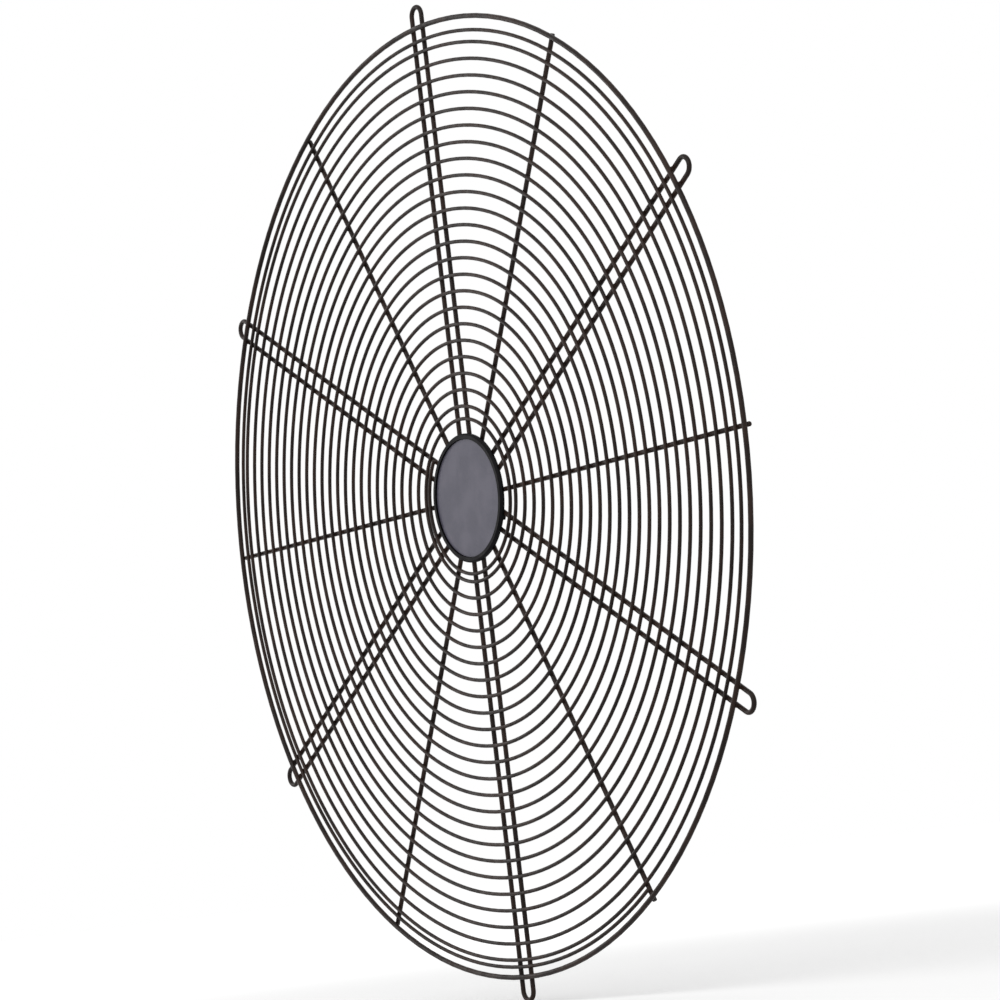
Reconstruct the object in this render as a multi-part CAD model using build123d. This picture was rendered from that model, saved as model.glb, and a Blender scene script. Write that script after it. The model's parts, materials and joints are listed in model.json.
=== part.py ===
from build123d import *
import os
from math import degrees

# Round wire guard for the face of a large fan, in millimetres. The guard stands upright: +Z is up,
# the guarded side looks towards -Y, and the fan lies behind it, at +Y. The origin is on the guard's
# axis, in the plane on which its fixing loops sit against the fan.
#
# The pieces are drawn lying down and stood up as they are written: x is to the right as seen from
# the front, y is up, and z is the height above the fixing plane, towards the viewer. Angles run
# counter-clockwise as seen from the front, from the right-hand side.

# Wire diameters
SPOKE_WIRE = 4.1
SPIRAL_WIRE = 2.7
RIM_WIRE = 4.3
HUB_WIRE = 4.1

# Crossing wires are resistance welded where they touch. This is left between them.
WELD_GAP = 0.03
CUT_END_CHAMFER = 0.4

# Rim ring and hub ring, to the middle of the wire
RIM_RADIUS = 407.0
HUB_RADIUS = 38.0

# Spokes: doubled hairpins alternate with single wires
SPOKE_PAIRS = 6
HAIRPIN_SPACING = 15.7
LOOP_REACH = 19.5
SINGLE_REACH = 4.0
SPOKE_INSIDE_HUB = 6.0
FIRST_HAIRPIN = 90.0

# Spiral: close turns at the hub and at the rim, open turns between them
ARCS_PER_TURN = 6
BADGE_TO_SPIRAL = 9.2
RIM_TO_SPIRAL = 8.5
CLOSE_PITCH = 5.8
INNER_CLOSE_ARCS = 6
OPEN_TURNS = 23
OUTER_CLOSE_ARCS = 7
SPIRAL_START = -120.0
SPIRAL_OVERHANG = 3.0
# The wire is round. Its long coil is drawn with this many flats, which keeps its surface light.
SPIRAL_FLATS = 8

# Badge: a moulded dish that holds a thin face plate
BADGE_RADIUS = 55.0
BADGE_THICKNESS = 3.6
BADGE_FLOOR = 1.1
BADGE_LIP = 3.0
BADGE_BEVEL = 1.6
BADGE_EDGE = 2.0
FACE_THICKNESS = 0.8
FACE_PLAY = 0.15
FACE_CHAMFER = 0.2

# Badge clips: they pass between the two wires of every second hairpin and catch the hub ring
CLIP_COUNT = 3
CLIP_THICKNESS = 2.0
CLIP_SIDE_PLAY = 2.5
CLIP_PLAY = 0.25
CLIP_CATCH = 1.7
CLIP_LAND = 0.8
CLIP_LEAD = 1.6

# Heights above the fixing plane
SPOKE_HEIGHT = SPOKE_WIRE / 2
SPOKE_FRONT = SPOKE_WIRE + WELD_GAP
SPIRAL_HEIGHT = SPOKE_FRONT + SPIRAL_WIRE / 2
RIM_HEIGHT = SPOKE_FRONT + RIM_WIRE / 2
HUB_HEIGHT = -WELD_GAP - HUB_WIRE / 2

SPOKE_START = HUB_RADIUS - SPOKE_INSIDE_HUB


def along(radius, angle):
    return Vector(radius, 0).rotate(Axis.Z, angle)


def round_wire(path, diameter):
    section = Plane(origin=path @ 0, z_dir=path % 0) * Circle(diameter / 2)
    return sweep(section, path=path)


def turned(piece, angle):
    return Rot(0, 0, angle) * piece


# The spiral is a chain of tangent arcs. Their centres walk round a small hexagon about the axis, one
# corner for each arc, and the hexagon's side is the growth of the radius from one arc to the next.
def spiral_steps():
    close = CLOSE_PITCH / ARCS_PER_TURN
    close_arcs = INNER_CLOSE_ARCS + OUTER_CLOSE_ARCS
    open_arcs = OPEN_TURNS * ARCS_PER_TURN
    first_radius = BADGE_RADIUS + BADGE_TO_SPIRAL
    last_radius = RIM_RADIUS - RIM_TO_SPIRAL
    # The two changes of pitch each add half an open step more than they take from the close ones.
    open_growth = last_radius - first_radius - (close_arcs - 2) * close
    open_step = open_growth / (open_arcs + 1)
    steps = [close] * INNER_CLOSE_ARCS + [open_step] * open_arcs + [close] * OUTER_CLOSE_ARCS
    return steps, first_radius


def spiral_path():
    steps, first_radius = spiral_steps()
    sweep_angle = 360 / ARCS_PER_TURN
    corner = SPIRAL_START + 2 * sweep_angle
    centres = [along(step, corner + sweep_angle * index) for index, step in enumerate(steps)]
    radius = first_radius + steps[0] / 2
    start_angle = SPIRAL_START - degrees(SPIRAL_OVERHANG / radius)
    joints = [centres[0] + along(radius, start_angle)]
    for centre, next_centre in zip(centres, centres[1:]):
        move = next_centre - centre
        joints.append(centre - move.normalized() * radius)
        radius += move.length
    end_angle = SPIRAL_START + sweep_angle * len(steps) + degrees(SPIRAL_OVERHANG / radius)
    joints.append(centres[-1] + along(radius, end_angle))
    tangent = along(1, start_angle + 90)
    arcs = []
    for start, end in zip(joints, joints[1:]):
        arcs.append(TangentArc(start, end, tangent=tangent))
        tangent = arcs[-1] % 1
    return Wire(arcs).moved(Pos(0, 0, SPIRAL_HEIGHT))


def spiral_wire():
    path = spiral_path()
    start = Plane(origin=path @ 0, x_dir=(0, 0, 1), z_dir=path % 0)
    half_side = 180 / SPIRAL_FLATS
    section = RegularPolygon(SPIRAL_WIRE / 2, SPIRAL_FLATS, major_radius=False, rotation=half_side)
    wire = sweep(start * section, path=path)
    print("spiral: length", round(path.length), "volume over section times length",
          round(wire.volume / (path.length * section.area), 5))
    return wire


def ring(radius, diameter, height):
    return Pos(0, 0, height) * Torus(radius, diameter / 2)


def hairpin_spoke():
    half = HAIRPIN_SPACING / 2
    bend = RIM_RADIUS + LOOP_REACH - half
    out = Line((SPOKE_START, half), (bend, half))
    loop = ThreePointArc((bend, half), (bend + half, 0), (bend, -half))
    back = Line((bend, -half), (SPOKE_START, -half))
    path = Wire([out, loop, back]).moved(Pos(0, 0, SPOKE_HEIGHT))
    wire = round_wire(path, SPOKE_WIRE)
    return chamfer(wire.edges().group_by(Axis.X)[0], CUT_END_CHAMFER)


def single_spoke():
    path = Line((SPOKE_START, 0, SPOKE_HEIGHT), (RIM_RADIUS + SINGLE_REACH, 0, SPOKE_HEIGHT))
    wire = round_wire(path, SPOKE_WIRE)
    ends = wire.edges().group_by(Axis.X)
    return chamfer(ends[0] + ends[-1], CUT_END_CHAMFER)


# The clip's side view: a leg outside the hub ring with a barb that turns in behind it.
def badge_clip():
    leg = HUB_RADIUS + HUB_WIRE / 2 + CLIP_PLAY
    catch = -WELD_GAP - HUB_WIRE - CLIP_PLAY
    outline = Polyline(
        (leg, SPOKE_FRONT + BADGE_FLOOR / 2),
        (leg, catch),
        (leg - CLIP_CATCH, catch),
        (leg - CLIP_CATCH, catch - CLIP_LAND),
        (leg, catch - CLIP_LAND - CLIP_LEAD),
        (leg + CLIP_THICKNESS, catch - CLIP_LAND - CLIP_LEAD),
        (leg + CLIP_THICKNESS, SPOKE_FRONT + BADGE_FLOOR / 2),
        close=True,
    )
    width = HAIRPIN_SPACING - SPOKE_WIRE - 2 * CLIP_SIDE_PLAY
    return extrude(Plane.XZ * make_face(outline), width / 2, both=True)


def badge_dish():
    top = SPOKE_FRONT + BADGE_THICKNESS
    recess = BADGE_RADIUS - BADGE_BEVEL - BADGE_LIP
    outline = Polyline(
        (0, SPOKE_FRONT),
        (BADGE_RADIUS, SPOKE_FRONT),
        (BADGE_RADIUS, SPOKE_FRONT + BADGE_EDGE),
        (BADGE_RADIUS - BADGE_BEVEL, top),
        (recess, top),
        (recess, SPOKE_FRONT + BADGE_FLOOR),
        (0, SPOKE_FRONT + BADGE_FLOOR),
        close=True,
    )
    dish = revolve(Plane.XZ * make_face(outline), Axis.Z)
    for index in range(CLIP_COUNT):
        dish += turned(badge_clip(), FIRST_HAIRPIN + index * 360 / CLIP_COUNT)
    return dish


def badge_face():
    radius = BADGE_RADIUS - BADGE_BEVEL - BADGE_LIP - FACE_PLAY
    plate = extrude(Circle(radius), FACE_THICKNESS)
    plate = chamfer(plate.edges().group_by(Axis.Z)[-1], FACE_CHAMFER)
    return Pos(0, 0, SPOKE_FRONT + BADGE_FLOOR) * plate


def guard_pieces():
    pieces = {
        "spiral_wire": spiral_wire(),
        "rim_ring": ring(RIM_RADIUS, RIM_WIRE, RIM_HEIGHT),
        "hub_ring": ring(HUB_RADIUS, HUB_WIRE, HUB_HEIGHT),
        "badge_dish": badge_dish(),
        "badge_face": badge_face(),
    }
    hairpin = hairpin_spoke()
    single = single_spoke()
    between = 360 / SPOKE_PAIRS
    for index in range(SPOKE_PAIRS):
        angle = FIRST_HAIRPIN - index * between
        pieces[f"hairpin_spoke_{index + 1}"] = turned(hairpin, angle)
        pieces[f"single_spoke_{index + 1}"] = turned(single, angle - between / 2)
    return pieces


os.makedirs("parts", exist_ok=True)
for name, piece in guard_pieces().items():
    export_step(Plane.XZ * piece, f"parts/{name}.step")
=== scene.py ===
# %% [markdown]
# # A wire fan guard, dressed for a product photograph
#
# The guard is a welded set of black coated wires with a round badge at the hub. Its measured model
# is the frame: spokes, rings and badge stand in their right places there, in metres, with +Z up and
# the guarded side towards -Y. This script keeps that frame and adds what the camera looks for: a
# round and smooth spiral, single spokes cut to length, the small welds where wires cross, the finish
# of every surface, and a quiet studio. Everything is made in the order in which a maker would think
# of it.

# %% Load the frame
import json
import random
from cmath import phase, rect
from math import pi, radians

import bpy
from mathutils import Matrix, Vector

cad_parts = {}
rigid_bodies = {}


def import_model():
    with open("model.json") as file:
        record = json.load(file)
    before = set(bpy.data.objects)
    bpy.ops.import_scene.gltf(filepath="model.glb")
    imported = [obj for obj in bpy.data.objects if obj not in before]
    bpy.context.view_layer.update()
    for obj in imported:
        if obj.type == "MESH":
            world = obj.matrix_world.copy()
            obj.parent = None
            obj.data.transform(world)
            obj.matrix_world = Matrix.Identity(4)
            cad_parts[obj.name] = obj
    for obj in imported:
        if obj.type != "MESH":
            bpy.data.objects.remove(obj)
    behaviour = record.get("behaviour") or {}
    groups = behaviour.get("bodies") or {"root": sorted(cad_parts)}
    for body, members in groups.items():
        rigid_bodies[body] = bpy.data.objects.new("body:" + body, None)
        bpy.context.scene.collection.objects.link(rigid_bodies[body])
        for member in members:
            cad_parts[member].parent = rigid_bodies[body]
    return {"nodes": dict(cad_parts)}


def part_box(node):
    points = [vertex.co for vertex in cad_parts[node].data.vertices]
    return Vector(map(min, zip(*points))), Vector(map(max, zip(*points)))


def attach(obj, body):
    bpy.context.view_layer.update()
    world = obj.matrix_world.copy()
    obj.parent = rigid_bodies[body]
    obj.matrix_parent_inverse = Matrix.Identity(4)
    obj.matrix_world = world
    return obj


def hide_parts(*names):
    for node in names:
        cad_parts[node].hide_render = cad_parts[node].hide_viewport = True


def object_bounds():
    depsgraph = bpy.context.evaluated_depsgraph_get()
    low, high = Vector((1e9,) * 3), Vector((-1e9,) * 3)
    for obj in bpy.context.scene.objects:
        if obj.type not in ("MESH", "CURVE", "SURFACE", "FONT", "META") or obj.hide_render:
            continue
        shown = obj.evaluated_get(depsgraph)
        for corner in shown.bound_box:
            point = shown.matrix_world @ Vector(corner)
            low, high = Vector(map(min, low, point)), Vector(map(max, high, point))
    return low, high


bpy.ops.object.select_all(action="SELECT")
bpy.ops.object.delete()
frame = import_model()
nodes = frame["nodes"]
cad_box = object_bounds()
print("pieces in the frame:", len(nodes))

# %% [markdown]
# ## Sizes that the frame gives
#
# A welded guard is easy to read from its boxes. A single spoke that lies along X is as thick as its
# wire, a ring's box is the ring's outer diameter, and a hairpin's width is its spacing plus one
# wire. Sizes are read like this wherever they can be, so the script follows the frame's changes.

# %% Read the wires
spoke_low, spoke_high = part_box("single_spoke_2")
hairpin_low, hairpin_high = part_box("hairpin_spoke_1")
spiral_low, spiral_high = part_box("spiral_wire")
rim_low, rim_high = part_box("rim_ring")
hub_low, hub_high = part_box("hub_ring")
badge_low, badge_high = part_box("badge_dish")

SPOKE_WIRE = spoke_high.z - spoke_low.z
SPIRAL_WIRE = spiral_high.y - spiral_low.y
RIM_WIRE = rim_high.y - rim_low.y
HUB_WIRE = hub_high.y - hub_low.y
RIM_RADIUS = (rim_high.z - rim_low.z - RIM_WIRE) / 2
HUB_RADIUS = (hub_high.z - hub_low.z - HUB_WIRE) / 2
BADGE_RADIUS = (badge_high.x - badge_low.x) / 2
HAIRPIN_OFFSET = (hairpin_high.x - hairpin_low.x - SPOKE_WIRE) / 2
SPOKE_START = spoke_low.x
SPOKE_FRONT = spoke_low.y
SPOKE_REAR = spoke_high.y
SPIRAL_LEVEL = (spiral_low.y + spiral_high.y) / 2
wires = {"spoke": SPOKE_WIRE, "spiral": SPIRAL_WIRE, "rim": RIM_WIRE, "hub": HUB_WIRE}
print("wires, mm:", {name: round(1000 * wire, 2) for name, wire in wires.items()})

# %% [markdown]
# ## Working by hand, in code
#
# Blender's modelling operators act on whatever is selected and active. Before each new piece all is
# deselected, then one primitive is added. What is shaped next is selected by what it is, such as an
# open edge or a face with many sides, which is what a modeller does with the mouse.

# %% Helpers for modelling
SMOOTH_BELOW = 50


def clear_selection():
    if bpy.context.object and bpy.context.object.mode != "OBJECT":
        bpy.ops.object.mode_set(mode="OBJECT")
    bpy.ops.object.select_all(action="DESELECT")


def start_circle(name, corners, radius, location=(0, 0, 0), rotation=(0, 0, 0)):
    clear_selection()
    bpy.ops.mesh.primitive_circle_add(
        vertices=corners, radius=radius, location=location, rotation=rotation
    )
    bpy.ops.object.transform_apply(location=True, rotation=True, scale=True)
    piece = bpy.context.object
    piece.name = name
    bpy.ops.object.mode_set(mode="EDIT")
    bpy.ops.mesh.select_all(action="SELECT")
    return piece


def finish_mesh(piece, smooth_below=SMOOTH_BELOW):
    bpy.ops.mesh.select_all(action="SELECT")
    bpy.ops.mesh.normals_make_consistent(inside=False)
    bpy.ops.object.mode_set(mode="OBJECT")
    bpy.ops.object.shade_smooth_by_angle(angle=radians(smooth_below))
    print(piece.name, "faces:", len(piece.data.polygons))
    return piece


# %% [markdown]
# ## The spiral wire
#
# The real guard has one long wire wound flat, with close turns at the hub and at the rim and even
# turns between them. A true spiral could be a curve with thousands of points. A winder's trick is
# simpler: a chain of arcs, six to a turn, whose centres walk round a small hexagon. Each step of the
# walk lengthens the radius by the hexagon's side, and every arc starts exactly where, and in the
# direction in which, the last one ended. The wire starts on a hairpin spoke beside the badge, so
# the first arc is cut short there. Points on the flat guard are written as complex numbers, because
# rect() and phase() turn angles into places and back.

# %% Lay out the arcs
ARCS_PER_TURN = 6
CLOSE_PITCH = 0.0058
INNER_CLOSE_ARCS = 8
OPEN_TURNS = 23
OUTER_CLOSE_ARCS = 7
BADGE_TO_WIRE = 0.0073
RIM_TO_WIRE = 0.0085
FIRST_RADIUS = BADGE_RADIUS + BADGE_TO_WIRE
LAST_RADIUS = RIM_RADIUS - RIM_TO_WIRE
OPEN_ARCS = OPEN_TURNS * ARCS_PER_TURN
SPIRAL_START = radians(120)
START_SPOKE = radians(150)
SPIRAL_OVERHANG = 0.003
SIXTH = 2 * pi / ARCS_PER_TURN


def spiral_arcs():
    close = CLOSE_PITCH / ARCS_PER_TURN
    close_arcs = INNER_CLOSE_ARCS + OUTER_CLOSE_ARCS
    growth = LAST_RADIUS - FIRST_RADIUS - (close_arcs - 2) * close
    steps = [close] * INNER_CLOSE_ARCS
    steps += [growth / (OPEN_ARCS + 1)] * OPEN_ARCS
    steps += [close] * OUTER_CLOSE_ARCS
    corner = SPIRAL_START + 2 * SIXTH
    centres = [rect(step, corner + SIXTH * index) for index, step in enumerate(steps)]
    radius = FIRST_RADIUS + steps[0] / 2
    angle = START_SPOKE - (HAIRPIN_OFFSET + SPIRAL_OVERHANG) / radius
    arcs = []
    for centre, next_centre in zip(centres, centres[1:]):
        move = next_centre - centre
        turn = phase(-move / rect(1, angle))
        arcs.append((centre, radius, angle, turn))
        angle += turn
        radius += abs(move)
    end = SPIRAL_START + SIXTH * len(steps) + SPIRAL_OVERHANG / radius
    arcs.append((centres[-1], radius, angle, end - angle))
    return arcs


arcs = spiral_arcs()
print("arcs:", len(arcs), "wire length, m:", round(sum(arc[1] * arc[3] for arc in arcs), 2))

# %% [markdown]
# The wire itself is a ring of twelve points, spun through each arc about that arc's centre. Spin
# leaves the new end ring selected, so the next arc goes on from there. The number of steps follows
# from how far a chord may stand off the arc, which is the radius times the square of the step, over
# eight, so the wide outer turns are as round as the small inner ones. Each turn is wound as a piece
# of its own, because the operator slows down on a long coil. The turns are then joined and their
# shared rings are merged. A face closes each cut end, and a small inset marks its edge. The wire is
# wound a little heavier than the frame's coil, as the picture shows it. Its middle line stays, so it
# is pressed slightly into the spokes, as welding does.

# %% Wind the spiral
WIRE_CORNERS = 12
WOUND_WIRE = 0.0032
CHORD_ERROR = 0.00005
CUT_INSET = 0.0003
SAME_PLACE = 0.00001


def flat(point, level):
    return Vector((point.real, level, point.imag))


def spin_steps(radius, turn):
    return max(3, round(turn / (8 * CHORD_ERROR / radius) ** 0.5))


def wind_turn(its_arcs):
    centre, radius, angle, _ = its_arcs[0]
    start = flat(centre + rect(radius, angle), SPIRAL_LEVEL)
    piece = start_circle("wound_spiral", WIRE_CORNERS, WOUND_WIRE / 2, start, (0, -angle, 0))
    for centre, radius, angle, turn in its_arcs:
        bpy.ops.mesh.spin(
            steps=spin_steps(radius, turn),
            angle=-turn,
            center=flat(centre, SPIRAL_LEVEL),
            axis=(0, -1, 0),
        )
    return piece


def wind_spiral():
    firsts = range(0, len(arcs), ARCS_PER_TURN)
    turns = [wind_turn(arcs[first:first + ARCS_PER_TURN]) for first in firsts]
    clear_selection()
    for turn in turns:
        turn.select_set(True)
    bpy.context.view_layer.objects.active = turns[0]
    bpy.ops.object.join()
    bpy.ops.object.mode_set(mode="EDIT")
    bpy.ops.mesh.select_all(action="SELECT")
    bpy.ops.mesh.remove_doubles(threshold=SAME_PLACE)
    return bpy.context.object


def close_cut_ends():
    bpy.ops.mesh.select_all(action="DESELECT")
    bpy.ops.mesh.select_non_manifold(
        use_wire=False, use_multi_face=False, use_non_contiguous=False, use_verts=False
    )
    bpy.ops.mesh.edge_face_add()
    bpy.ops.mesh.inset(thickness=CUT_INSET, depth=0)


spiral = wind_spiral()
close_cut_ends()
finish_mesh(spiral)
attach(spiral, "root")
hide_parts("spiral_wire")

# %% [markdown]
# ## Where the wires cross
#
# Welds sit where the spiral passes over a spoke, and nowhere else, so their places are measured and
# not typed in. A ray runs out along each spoke at the spiral's own level, and every time it enters
# the wire it has found a crossing. The six hairpins have two wires each, so eighteen wires are
# walked in all.

# %% Find the crossings
SPOKE_PAIRS = 6
FIRST_HAIRPIN = radians(90)
PAST_THE_WIRE = 1.3


def spoke_lines():
    lines = []
    for index in range(SPOKE_PAIRS):
        angle = FIRST_HAIRPIN - index * 2 * pi / SPOKE_PAIRS
        lines += [(angle, HAIRPIN_OFFSET), (angle, -HAIRPIN_OFFSET)]
        lines.append((angle - pi / SPOKE_PAIRS, 0))
    return lines


def spiral_crossings(angle, offset):
    outward = flat(rect(1, angle), 0)
    point = flat(rect(1, angle) * complex(SPOKE_START, offset), SPIRAL_LEVEL)
    found = []
    while True:
        hit, place, _, _ = spiral.ray_cast(point, outward)
        if not hit:
            return found
        found.append(place + outward * WOUND_WIRE / 2)
        point = place + outward * WOUND_WIRE * PAST_THE_WIRE


def ring_crossing(radius, angle, offset):
    reach = (radius**2 - offset**2) ** 0.5
    return flat(rect(1, angle) * complex(reach, offset), 0)


lines = spoke_lines()
over_spokes = [
    (angle, place) for angle, offset in lines for place in spiral_crossings(angle, offset)
]
print("crossings of the spiral:", len(over_spokes))

# %% [markdown]
# ## The welds
#
# Crossing wires are pressed together and fused by a pulse of current. What shows is a small collar
# in the wedge between the two wires: it hugs the spoke along one direction and the other wire along
# the other. A circle is extruded upwards, and its rings are stretched to fit: long along the spoke
# at the bottom, narrow at the waist, and long across it at the top. Each ring is written as its
# stretch along the spoke, its stretch across it, and its height over the spoke. Both ends lie inside
# the wires.

# %% Model one weld
WELD_CORNERS = 10
WELD_SMOOTH_BELOW = 70
WELD_WAIST = 0.00155
WELD_RINGS = [
    (1.7, 1.05, -0.0009),
    (1.25, 1.06, -0.0003),
    (1, 1, 0.0002),
    (0.92, 1.25, 0.0006),
    (0.8, 1.7, 0.0011),
]


def model_weld():
    along, across, level = WELD_RINGS[0]
    piece = start_circle("weld", WELD_CORNERS, WELD_WAIST, (0, 0, level))
    bpy.ops.transform.resize(value=(along, across, 1))
    bpy.ops.mesh.edge_face_add()
    for ring in WELD_RINGS[1:]:
        bpy.ops.mesh.extrude_region_move(
            TRANSFORM_OT_translate={"value": (0, 0, ring[2] - level)}
        )
        bpy.ops.transform.resize(value=(ring[0] / along, ring[1] / across, 1))
        along, across, level = ring
    return finish_mesh(piece, WELD_SMOOTH_BELOW)


weld = model_weld()

# %% [markdown]
# One collar is copied to every crossing, each copy a little larger or smaller than the next, and
# turned to its spoke. The rings are heavier wire than the spiral, so their collars are larger. At the
# rim the single spokes end just past their weld, so the collars there are small. The hub ring lies
# behind the spokes, so its collars face the rear.

# %% Copy it to every crossing
WELD_SPREAD = 0.12
SEED = 7
RING_WELD_SCALE = 1.3
STUB_WELD_SCALE = 0.5
FRONT = -1
REAR = 1
random.seed(SEED)


def place_weld(angle, place, level, facing, scale):
    copy = weld.copy()
    copy.data = weld.data.copy()
    size = scale * random.uniform(1 - WELD_SPREAD, 1 + WELD_SPREAD)
    spoke = flat(rect(1, angle), 0)
    up = Vector((0, facing, 0))
    turn = Matrix((spoke, up.cross(spoke), up)).transposed().to_4x4()
    spot = Matrix.Translation((place.x, level, place.z))
    copy.matrix_world = spot @ turn @ Matrix.Scale(size, 4)
    bpy.context.scene.collection.objects.link(copy)
    return copy


def join_welds(name, copies):
    clear_selection()
    for copy in copies:
        copy.select_set(True)
    bpy.context.view_layer.objects.active = copies[0]
    bpy.ops.object.join()
    bpy.ops.object.transform_apply(location=True, rotation=True, scale=True)
    piece = bpy.context.object
    piece.name = name
    print(name, "welds:", len(copies), "faces:", len(piece.data.polygons))
    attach(piece, "root")
    return piece


spiral_welds = join_welds(
    "spiral_welds",
    [place_weld(angle, place, SPOKE_FRONT, FRONT, 1) for angle, place in over_spokes],
)
rim_welds = join_welds(
    "rim_welds",
    [
        place_weld(
            angle,
            ring_crossing(RIM_RADIUS, angle, offset),
            SPOKE_FRONT,
            FRONT,
            RING_WELD_SCALE if offset else STUB_WELD_SCALE,
        )
        for angle, offset in lines
    ],
)
hub_welds = join_welds(
    "hub_welds",
    [
        place_weld(
            angle,
            ring_crossing(HUB_RADIUS, angle, offset),
            SPOKE_REAR,
            REAR,
            RING_WELD_SCALE,
        )
        for angle, offset in lines
    ],
)
bpy.data.objects.remove(weld)

# %% [markdown]
# ## The single spokes
#
# Six straight wires stand between the hairpins. They are sheared off just past the rim, and both
# ends have lost their burr. The frame's wires stand out a little further there than the picture's,
# so they are made again with a shorter stub. One is modelled along X, as a cylinder with bevelled
# ends, and turned copies of it take the six places.

# %% Cut the single spokes
STUB = 0.0013
SPOKE_CORNERS = 48
END_BEVEL = 0.0004


def model_single_spoke():
    clear_selection()
    tip = RIM_RADIUS + STUB
    bpy.ops.mesh.primitive_cylinder_add(
        vertices=SPOKE_CORNERS,
        radius=SPOKE_WIRE / 2,
        depth=tip - SPOKE_START,
        location=((tip + SPOKE_START) / 2, (SPOKE_FRONT + SPOKE_REAR) / 2, 0),
        rotation=(0, pi / 2, 0),
    )
    bpy.ops.object.transform_apply(location=True, rotation=True, scale=True)
    piece = bpy.context.object
    piece.name = "cut_spoke"
    bpy.ops.object.mode_set(mode="EDIT")
    bpy.ops.mesh.select_mode(type="FACE")
    bpy.ops.mesh.select_all(action="DESELECT")
    bpy.ops.mesh.select_face_by_sides(number=4, type="GREATER")
    bpy.ops.mesh.bevel(offset=END_BEVEL, segments=2, affect="EDGES")
    return finish_mesh(piece)


def place_single_spoke(index):
    copy = single_spoke.copy()
    copy.data = single_spoke.data.copy()
    copy.name = f"cut_spoke_{index + 1}"
    angle = FIRST_HAIRPIN - (2 * index + 1) * pi / SPOKE_PAIRS
    copy.data.transform(Matrix.Rotation(-angle, 4, "Y"))
    bpy.context.scene.collection.objects.link(copy)
    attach(copy, "root")
    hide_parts(f"single_spoke_{index + 1}")
    return copy


single_spoke = model_single_spoke()
cut_spokes = [place_single_spoke(index) for index in range(SPOKE_PAIRS)]
bpy.data.objects.remove(single_spoke)
print("single spokes:", len(cut_spokes))

# %% [markdown]
# ## Writing finishes as sums
#
# A finish is a small network of nodes. Writing it as sums and products is easier to read than
# placing nodes one by one, so a Value wraps a socket and turns each + and * into a Math node.
# Every other node comes from one method, which takes the node's type, its settings and its sockets.

# %% A small language for finishes
class Value:
    def __init__(self, finish, socket):
        self.finish = finish
        self.socket = socket

    def __add__(self, other):
        return self.finish.math("ADD", self, other)

    def __radd__(self, other):
        return self.finish.math("ADD", other, self)

    def __mul__(self, other):
        return self.finish.math("MULTIPLY", self, other)

    def __rmul__(self, other):
        return self.finish.math("MULTIPLY", other, self)


SEEING_RAYS = ("Camera", "Glossy", "Transmission")
SOFT_STEP = (0.35, 0.65)


class Finish:
    def __init__(self, name, kind="materials"):
        self.material = getattr(bpy.data, kind).new(name)
        self.material.use_nodes = True
        self.tree = self.material.node_tree
        self.tree.nodes.clear()

    def node(self, kind, settings, sockets, result=0):
        made = self.tree.nodes.new(kind)
        for name, value in settings.items():
            setattr(made, name, value)
        for name, value in sockets.items():
            if isinstance(value, Value):
                self.tree.links.new(value.socket, made.inputs[name])
            else:
                made.inputs[name].default_value = value
        return Value(self, made.outputs[result])

    def math(self, operation, first, second):
        return self.node("ShaderNodeMath", {"operation": operation}, {0: first, 1: second})

    def place(self):
        return self.node("ShaderNodeTexCoord", {}, {}, "Object")

    def noise(self, size, detail=2.0, roughness=0.5):
        sockets = {
            "Vector": self.place(),
            "Scale": 1 / size,
            "Detail": detail,
            "Roughness": roughness,
        }
        return self.node("ShaderNodeTexNoise", {"noise_dimensions": "3D"}, sockets)

    def between(self, value, low, high):
        sockets = {"Value": value, "From Min": low, "From Max": high}
        return self.node("ShaderNodeMapRange", {"interpolation_type": "SMOOTHSTEP"}, sockets)

    def blend(self, share, first, second):
        settings = {"data_type": "RGBA"}
        return self.node("ShaderNodeMix", settings, {0: share, 6: first, 7: second}, 2)

    def bump(self, height, depth):
        sockets = {"Height": height, "Distance": depth, "Strength": 1.0}
        return self.node("ShaderNodeBump", {}, sockets)

    def seen(self):
        camera, glossy, through = [
            self.node("ShaderNodeLightPath", {}, {}, f"Is {kind} Ray") for kind in SEEING_RAYS
        ]
        return self.math("MAXIMUM", self.math("MAXIMUM", camera, glossy), through)

    def output(self, shader, kind="ShaderNodeOutputMaterial"):
        self.tree.links.new(shader.socket, self.tree.nodes.new(kind).inputs["Surface"])

    def surface(self, **sockets):
        named = {name.replace("_", " "): value for name, value in sockets.items()}
        self.output(self.node("ShaderNodeBsdfPrincipled", {}, named))
        return self.material

# %% [markdown]
# ## Black coated wire
#
# The wires are dipped or powder coated. From arm's length they read as a warm near-black. Close up
# the coat has a fine orange peel, it is a little thicker in some stretches than in others, and its
# gloss wanders. The colour drifts over a few centimetres, the gloss over a few millimetres, and the
# peel is about a millimetre across. Small pale specks stand for the dust that a wire guard carries.

# %% Finish for the wires
COAT_DARK = (0.009, 0.0045, 0.0032, 1)
COAT_WARM = (0.022, 0.011, 0.0075, 1)
DUST = (0.11, 0.09, 0.075, 1)
DUST_COVER = 0.4
DRIFT_SIZE = 0.03
PEEL_SIZE = 0.0011
PATCH_SIZE = 0.006
SPECK_SIZE = 0.0013
PEEL_DEPTH = 0.0001


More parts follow.
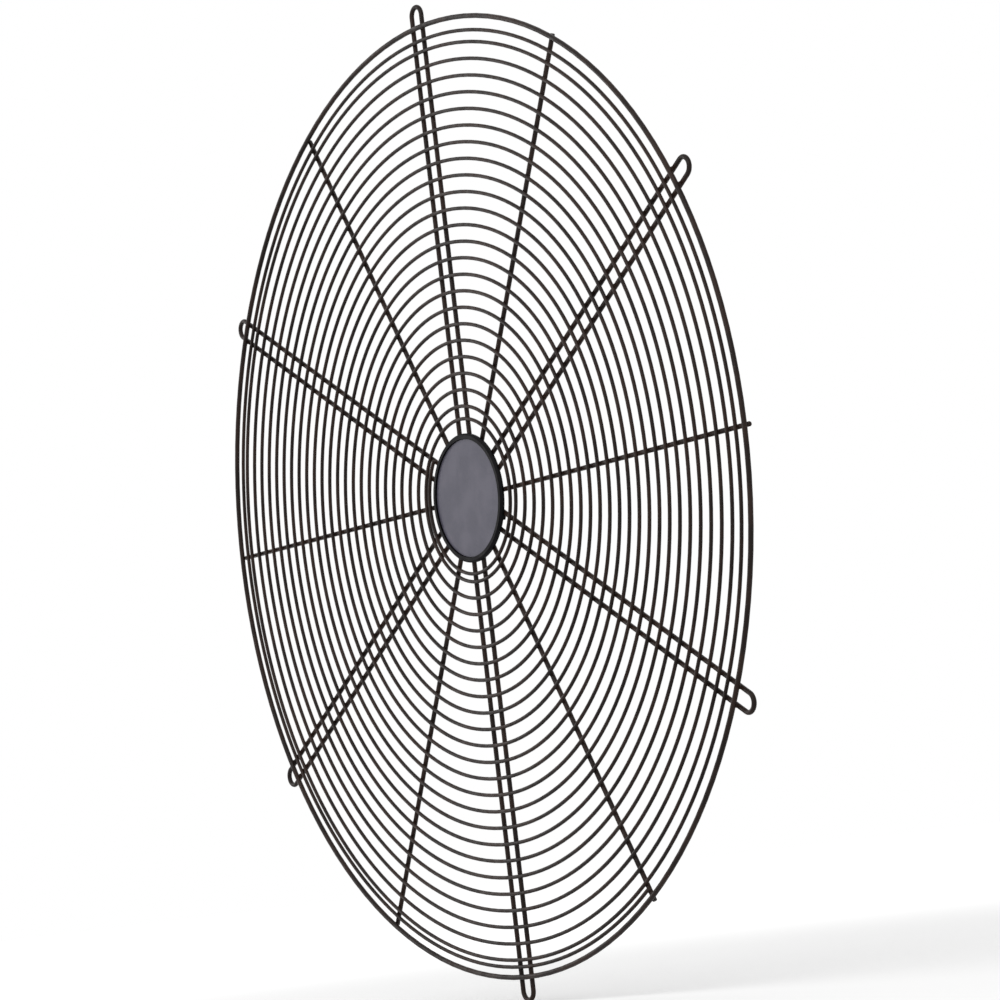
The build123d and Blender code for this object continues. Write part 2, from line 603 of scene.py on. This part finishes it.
def coated_wire():
    finish = Finish("coated_wire")
    drift = finish.noise(DRIFT_SIZE, 3)
    peel = finish.noise(PEEL_SIZE, 2)
    patch = finish.noise(PATCH_SIZE, 4, 0.6)
    specks = finish.between(finish.noise(SPECK_SIZE, 3, 0.7), 0.62, 0.7)
    colour = finish.blend(finish.between(drift, 0.4, 0.6), COAT_DARK, COAT_WARM)
    colour = finish.blend(specks * DUST_COVER, colour, DUST)
    return finish.surface(
        Base_Color=colour,
        Roughness=0.3 + finish.between(patch, *SOFT_STEP) * 0.22 + specks * 0.2,
        Specular_IOR_Level=0.16,
        Normal=finish.bump(peel + patch * 0.5, PEEL_DEPTH),
    )


# %% [markdown]
# ## The badge
#
# The dish is moulded in black plastic with a fine spark-eroded grain. The plate that sits in it is
# painted slate grey under a thin clear coat. It is plain, so its interest lies in the paint itself:
# a faint metallic flake, a slow drift of tone, and the soft gloss of the coat.

# %% Finishes for the badge
DISH_BLACK = (0.0015, 0.0013, 0.0018, 1)
DISH_GREY = (0.0045, 0.004, 0.005, 1)
SLATE_DEEP = (0.055, 0.053, 0.076, 1)
SLATE_PALE = (0.096, 0.091, 0.12, 1)
GRAIN_SIZE = 0.0006
GRAIN_DEPTH = 0.00012
SHEEN_SIZE = 0.012
FLAKE_SIZE = 0.0005
TONE_SIZE = 0.022
CLEAR_PEEL_SIZE = 0.0018
CLEAR_PEEL_DEPTH = 0.00006


def moulded_black():
    finish = Finish("moulded_black")
    grain = finish.noise(GRAIN_SIZE, 2)
    cloud = finish.between(finish.noise(SHEEN_SIZE, 3), *SOFT_STEP)
    return finish.surface(
        Base_Color=finish.blend(cloud, DISH_BLACK, DISH_GREY),
        Roughness=0.42 + cloud * 0.16,
        Specular_IOR_Level=0.07,
        Normal=finish.bump(grain, GRAIN_DEPTH),
    )


def slate_plate():
    finish = Finish("slate_plate")
    cloud = finish.between(finish.noise(TONE_SIZE, 3), *SOFT_STEP)
    flake = finish.between(finish.noise(FLAKE_SIZE, 2, 0.7), 0.4, 0.6)
    peel = finish.noise(CLEAR_PEEL_SIZE, 2)
    return finish.surface(
        Base_Color=finish.blend(cloud * 0.55 + flake * 0.45, SLATE_DEEP, SLATE_PALE),
        Roughness=0.42 + flake * 0.16,
        Metallic=0.1,
        Specular_IOR_Level=0.2,
        Coat_Weight=0.1,
        Coat_Roughness=0.2,
        Normal=finish.bump(flake * 0.3 + peel, CLEAR_PEEL_DEPTH),
    )


# %% Give every piece its finish
def dress(piece, material):
    piece.data.materials.clear()
    piece.data.materials.append(material)


wire_finish = coated_wire()
for piece in [spiral, spiral_welds, rim_welds, hub_welds] + cut_spokes:
    dress(piece, wire_finish)
for name, node in nodes.items():
    if name.startswith(("hairpin", "single", "rim", "hub", "spiral")):
        dress(node, wire_finish)
dress(nodes["badge_dish"], moulded_black())
dress(nodes["badge_face"], slate_plate())

# %% [markdown]
# ## The studio
#
# The guard is photographed against plain white. A pale floor catches a soft shadow. The camera and
# reflections see a white world, and the floor glows just enough to meet that white, a little more
# far away, where the lamps no longer reach. Neither throws more light on the guard: black wires stay
# black and the slate plate keeps its colour.

# %% Floor and world
FLOOR_SIZE = 30
FLOOR_TONE = (0.8, 0.8, 0.8, 1)
FLOOR_GLOW = 0.3
FAR_GLOW = 0.3
FLOOR_NEAR = 0.8
FLOOR_FAR = 2.6
FLOOR_GAP = 0.0005
WHITE = (1, 1, 1, 1)
WORLD_LIGHT = 0.55


def pale_floor():
    clear_selection()
    level = cad_box[0].z - FLOOR_GAP
    bpy.ops.mesh.primitive_plane_add(size=FLOOR_SIZE, location=(0, 0, level))
    floor = bpy.context.object
    floor.name = "floor"
    finish = Finish("pale_floor")
    distance = finish.node(
        "ShaderNodeVectorMath", {"operation": "LENGTH"}, {0: finish.place()}, "Value"
    )
    strength = FLOOR_GLOW + finish.between(distance, FLOOR_NEAR, FLOOR_FAR) * FAR_GLOW
    glow = finish.node(
        "ShaderNodeEmission", {}, {"Color": WHITE, "Strength": finish.seen() * strength}
    )
    matte = finish.node("ShaderNodeBsdfDiffuse", {}, {"Color": FLOOR_TONE})
    finish.output(finish.node("ShaderNodeAddShader", {}, {0: glow, 1: matte}))
    floor.data.materials.append(finish.material)


def white_world():
    finish = Finish("studio", "worlds")
    lit = finish.node("ShaderNodeBackground", {}, {"Color": WHITE, "Strength": WORLD_LIGHT})
    backdrop = finish.node("ShaderNodeBackground", {}, {"Color": WHITE, "Strength": 1})
    mix = finish.node("ShaderNodeMixShader", {}, {0: finish.seen(), 1: lit, 2: backdrop})
    finish.output(mix, "ShaderNodeOutputWorld")
    bpy.context.scene.world = finish.material


pale_floor()
white_world()

# %% [markdown]
# Two soft boxes do the rest: a large one in front and above on the camera's side, and a weaker one
# on the far side that draws the lower edges of the wires.

# %% Lamps
LAMPS = {
    "key": ((1.6, -3.2, 2.6), 4.5, 95),
    "fill": ((-3.0, -2.0, 1.0), 2.5, 28),
}


def soft_box(name, location, size, power):
    bpy.ops.object.light_add(type="AREA", location=location)
    lamp = bpy.context.object
    lamp.name = name
    lamp.data.size = size
    lamp.data.energy = power
    lamp.rotation_euler = (-Vector(location)).to_track_quat("-Z", "Y").to_euler()


for name, (location, size, power) in LAMPS.items():
    soft_box(name, location, size, power)

# %% [markdown]
# ## The camera
#
# The photograph looks at the guard from the right and a little from above, through a long lens.
# The guard stands turned about its own axis there, by a little over twelve degrees. The model keeps
# its own upright frame, so the camera takes that turn instead, about the guard's axis, and the
# picture is the same.

# %% Set the camera
AZIMUTH = radians(57.49)
ELEVATION = radians(5.14)
GUARD_TURN = radians(12.28)
DISTANCE = 3.315
FOCAL_PIXELS = 3901
IMAGE_WIDTH = 1000
HUB_PIXEL = (468.4, 498.0)
FARTHEST_SEEN = 100


def add_camera():
    data = bpy.data.cameras.new("camera")
    camera = bpy.data.objects.new("camera", data)
    bpy.context.scene.collection.objects.link(camera)
    data.lens = data.sensor_width * FOCAL_PIXELS / IMAGE_WIDTH
    data.clip_end = FARTHEST_SEEN
    side = (HUB_PIXEL[0] - IMAGE_WIDTH / 2) / FOCAL_PIXELS * DISTANCE
    lift = (IMAGE_WIDTH / 2 - HUB_PIXEL[1]) / FOCAL_PIXELS * DISTANCE
    turn = Matrix.Rotation(GUARD_TURN, 4, "Y")
    swing = Matrix.Rotation(AZIMUTH, 4, "Z") @ Matrix.Rotation(pi / 2 - ELEVATION, 4, "X")
    centre = Matrix.Translation((0, SPIRAL_LEVEL, 0))
    camera.matrix_world = centre @ turn @ swing @ Matrix.Translation((-side, -lift, DISTANCE))
    bpy.context.scene.camera = camera
    print("camera at", [round(c, 3) for c in camera.matrix_world.translation])


add_camera()
bpy.context.scene.view_settings.view_transform = "Standard"
